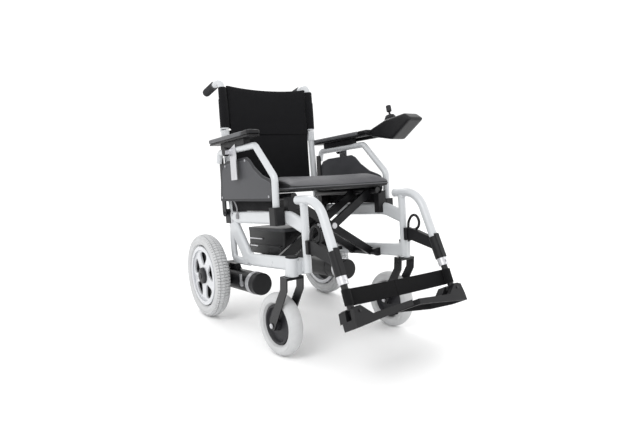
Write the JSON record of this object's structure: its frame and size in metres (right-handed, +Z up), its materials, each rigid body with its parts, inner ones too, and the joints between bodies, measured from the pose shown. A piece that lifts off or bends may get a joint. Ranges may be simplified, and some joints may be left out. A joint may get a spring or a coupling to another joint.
{
  "type": "power wheelchair",
  "caption": "Folding power wheelchair: oval-tube side frames, cross brace, cushioned seat, half-folding back, flip-back armrests, swing-away footrests and joystick.",
  "frame": {"origin": "on the floor under the middle of the overall box", "axes": "+Z up, the chair faces -Y, the user's right is -X"},
  "size_m": [0.603, 0.9956, 0.8962],
  "materials": {
    "back_fabric": "black nylon cloth",
    "black_paint": "satin black",
    "black_plastic": "moulded black plastic",
    "bright_steel": "zinc plated",
    "frame_paint": "silver-grey enamel",
    "grip_rubber": "soft black rubber",
    "hub_plastic": "dark plastic",
    "motor_black": "black enamel",
    "pad_vinyl": "moulded vinyl skin",
    "panel_plastic": "grained dark grey plastic",
    "rim_silver": "silver paint",
    "seat_fabric": "coated black cloth",
    "tyre_grey": "light grey rubber",
    "webbing": "woven webbing"
  },
  "bodies": {
    "frame_right": {"side_frame_right": "frame_paint", "fittings_right": "black_plastic", "gear_case_right": "motor_black", "motor_right": "motor_black"},
    "drive_wheel_right": {"drive_rim_right": "rim_silver", "drive_tyre_right": "tyre_grey"},
    "freewheel_right": {"freewheel_lever_right": "bright_steel"},
    "caster_right": {"caster_fork_right": "black_paint"},
    "caster_wheel_right": {"caster_hub_right": "hub_plastic", "caster_tyre_right": "tyre_grey"},
    "hanger_right": {"hanger_tube_right": "frame_paint", "hanger_shell_right": "black_plastic", "leg_tube_right": "black_paint", "leg_clamp_right": "bright_steel", "heel_strap_right": "webbing"},
    "footplate_right": {"footplate_right": "panel_plastic"},
    "armrest_right": {"arm_tube_right": "frame_paint", "arm_pad_right": "pad_vinyl", "arm_bracket_right": "black_plastic", "side_panel_right": "panel_plastic"},
    "cane_right": {"cane_upper_right": "frame_paint", "push_grip_right": "grip_rubber"},
    "frame_left": {"side_frame_left": "frame_paint", "fittings_left": "black_plastic", "gear_case_left": "motor_black", "motor_left": "motor_black"},
    "drive_wheel_left": {"drive_rim_left": "rim_silver", "drive_tyre_left": "tyre_grey"},
    "freewheel_left": {"freewheel_lever_left": "bright_steel"},
    "caster_left": {"caster_fork_left": "black_paint"},
    "caster_wheel_left": {"caster_hub_left": "hub_plastic", "caster_tyre_left": "tyre_grey"},
    "hanger_left": {"hanger_tube_left": "frame_paint", "hanger_shell_left": "black_plastic", "leg_tube_left": "black_paint", "leg_clamp_left": "bright_steel", "heel_strap_left": "webbing"},
    "footplate_left": {"footplate_left": "panel_plastic"},
    "armrest_left": {"arm_tube_left": "frame_paint", "arm_pad_left": "pad_vinyl", "arm_bracket_left": "black_plastic", "side_panel_left": "panel_plastic"},
    "cane_left": {"cane_upper_left": "frame_paint", "push_grip_left": "grip_rubber"},
    "brace_a": {"brace_a": "black_paint", "brace_pivot": "bright_steel"},
    "brace_b": {"brace_b": "black_paint"},
    "battery_tray": {"battery_tray": "black_paint"},
    "battery": {"battery_box": "black_plastic"},
    "seat": {"seat_cushion": "seat_fabric"},
    "back_lower": {"back_pad_lower": "back_fabric"},
    "back_upper": {"back_pad_upper": "back_fabric"},
    "controller": {"controller_case": "black_plastic", "controller_arm": "black_paint"},
    "gimbal": {"joystick_gimbal": "bright_steel"},
    "joystick": {"joystick": "grip_rubber"},
    "power_button": {"power_button": "hub_plastic"},
    "horn_button": {"horn_button": "hub_plastic"},
    "speed_dial": {"speed_dial": "hub_plastic"}
  },
  "joints": [
    {"name": "fold", "type": "slide", "parent": "frame_right", "child": "frame_left", "axis": [-1, 0, 0], "range_m": [0, 0.13], "deforming": ["seat_cushion", "back_pad_lower", "back_pad_upper", "heel_strap_right", "heel_strap_left"]},
    {"name": "brace_a_turn", "type": "hinge", "parent": "frame_right", "child": "brace_a", "pos_m": [-0.172, -0.10178, 0.27474], "axis": [0, -0.9936, 0.1132], "range_deg": [0, 26.54]},
    {"name": "brace_b_turn", "type": "hinge", "parent": "frame_left", "child": "brace_b", "pos_m": [0.172, -0.10178, 0.27474], "axis": [0, 0.9936, -0.1132], "range_deg": [0, 26.54]},
    {"name": "seat_lift", "type": "slide", "parent": "frame_right", "child": "seat", "axis": [-0.4514, 0.101, 0.8866], "range_m": [0, 0.146]},
    {"name": "tray_shift", "type": "slide", "parent": "frame_right", "child": "battery_tray", "axis": [-1, 0, 0], "range_m": [0, 0.067]},
    {"name": "back_lower_shift", "type": "slide", "parent": "frame_right", "child": "back_lower", "axis": [-1, 0, 0], "range_m": [0, 0.067]},
    {"name": "back_upper_shift", "type": "slide", "parent": "cane_right", "child": "back_upper", "axis": [-1, 0, 0], "range_m": [0, 0.067]},
    {"name": "battery_draw", "type": "slide", "parent": "battery_tray", "child": "battery", "axis": [0, 0.9936, -0.1132], "range_m": [0, 0.24]},
    {"name": "drive_right", "type": "hinge", "parent": "frame_right", "child": "drive_wheel_right", "pos_m": [-0.273, 0.33985, 0.158], "axis": [1, 0, 0], "continuous": true},
    {"name": "freewheel_right", "type": "hinge", "parent": "frame_right", "child": "freewheel_right", "pos_m": [-0.232, 0.13424, 0.16432], "axis": [1, 0, 0], "range_deg": [0, 60]},
    {"name": "swivel_right", "type": "hinge", "parent": "frame_right", "child": "caster_right", "pos_m": [-0.231, -0.20515, 0.29], "axis": [0, 0, 1], "continuous": true},
    {"name": "caster_roll_right", "type": "hinge", "parent": "caster_right", "child": "caster_wheel_right", "pos_m": [-0.23533, -0.1433, 0.1], "axis": [0.9976, 0.0698, 0], "continuous": true},
    {"name": "hanger_swing_right", "type": "hinge", "parent": "frame_right", "child": "hanger_right", "pos_m": [-0.197, -0.21948, 0.47838], "axis": [0, -0.1132, -0.9936], "range_deg": [0, 80]},
    {"name": "footplate_flip_right", "type": "hinge", "parent": "hanger_right", "child": "footplate_right", "pos_m": [-0.19, -0.45255, 0.21497], "axis": [0, -0.8755, 0.4833], "range_deg": [0, 84]},
    {"name": "arm_flip_right", "type": "hinge", "parent": "frame_right", "child": "armrest_right", "pos_m": [-0.228, 0.28696, 0.40055], "axis": [-1, 0, 0], "range_deg": [0, 95]},
    {"name": "back_fold_right", "type": "hinge", "parent": "frame_right", "child": "cane_right", "pos_m": [-0.192, 0.34698, 0.70471], "axis": [-1, 0, 0], "range_deg": [0, 95]},
    {"name": "drive_left", "type": "hinge", "parent": "frame_left", "child": "drive_wheel_left", "pos_m": [0.273, 0.33985, 0.158], "axis": [1, 0, 0], "continuous": true},
    {"name": "freewheel_left", "type": "hinge", "parent": "frame_left", "child": "freewheel_left", "pos_m": [0.232, 0.13424, 0.16432], "axis": [1, 0, 0], "range_deg": [0, 60]},
    {"name": "swivel_left", "type": "hinge", "parent": "frame_left", "child": "caster_left", "pos_m": [0.231, -0.20515, 0.29], "axis": [0, 0, 1], "continuous": true},
    {"name": "caster_roll_left", "type": "hinge", "parent": "caster_left", "child": "caster_wheel_left", "pos_m": [0.22992, -0.14316, 0.1], "axis": [0.9998, 0.0175, 0], "continuous": true},
    {"name": "hanger_swing_left", "type": "hinge", "parent": "frame_left", "child": "hanger_left", "pos_m": [0.197, -0.21948, 0.47838], "axis": [0, 0.1132, 0.9936], "range_deg": [0, 80]},
    {"name": "footplate_flip_left", "type": "hinge", "parent": "hanger_left", "child": "footplate_left", "pos_m": [0.19, -0.45255, 0.21497], "axis": [0, 0.8755, -0.4833], "range_deg": [0, 84]},
    {"name": "arm_flip_left", "type": "hinge", "parent": "frame_left", "child": "armrest_left", "pos_m": [0.228, 0.28696, 0.40055], "axis": [-1, 0, 0], "range_deg": [0, 95]},
    {"name": "back_fold_left", "type": "hinge", "parent": "frame_left", "child": "cane_left", "pos_m": [0.192, 0.34698, 0.70471], "axis": [-1, 0, 0], "range_deg": [0, 95]},
    {"name": "controller_reach", "type": "slide", "parent": "armrest_left", "child": "controller", "axis": [0, -0.9936, 0.1132], "range_m": [0, 0.05]},
    {"name": "stick_left_right", "type": "hinge", "parent": "controller", "child": "gimbal", "pos_m": [0.25, -0.10166, 0.7332], "axis": [0, 0.9588, -0.284], "range_deg": [-10, 10], "stiffness_Nm_per_rad": 0.25},
    {"name": "stick_fore_aft", "type": "hinge", "parent": "gimbal", "child": "joystick", "pos_m": [0.25, -0.10166, 0.7332], "axis": [1, 0, 0], "range_deg": [-10, 10], "stiffness_Nm_per_rad": 0.25},
    {"name": "power_press", "type": "slide", "parent": "controller", "child": "power_button", "axis": [0, -0.284, -0.9588], "range_m": [0, 0.0015], "stiffness_N_per_m": 600},
    {"name": "horn_press", "type": "slide", "parent": "controller", "child": "horn_button", "axis": [0, -0.284, -0.9588], "range_m": [0, 0.0015], "stiffness_N_per_m": 600},
    {"name": "speed_turn", "type": "hinge", "parent": "controller", "child": "speed_dial", "pos_m": [0.269, -0.15771, 0.74114], "axis": [0, 0.284, 0.9588], "range_deg": [-135, 135]}
  ],
  "couplings": [
    {"joint": "brace_a_turn", "follows": "fold", "rad_per_m": 3.4822},
    {"joint": "brace_b_turn", "follows": "fold", "rad_per_m": 3.4822},
    {"joint": "seat_lift", "follows": "fold", "ratio": 1.1077},
    {"joint": "tray_shift", "follows": "fold", "ratio": 0.5},
    {"joint": "back_lower_shift", "follows": "fold", "ratio": 0.5},
    {"joint": "back_upper_shift", "follows": "fold", "ratio": 0.5},
    {"joint": "footplate_flip_right", "follows": "fold", "rad_per_m": 11.266},
    {"joint": "footplate_flip_left", "follows": "fold", "rad_per_m": 11.266},
    {"joint": "back_fold_left", "follows": "back_fold_right", "ratio": 1}
  ]
}
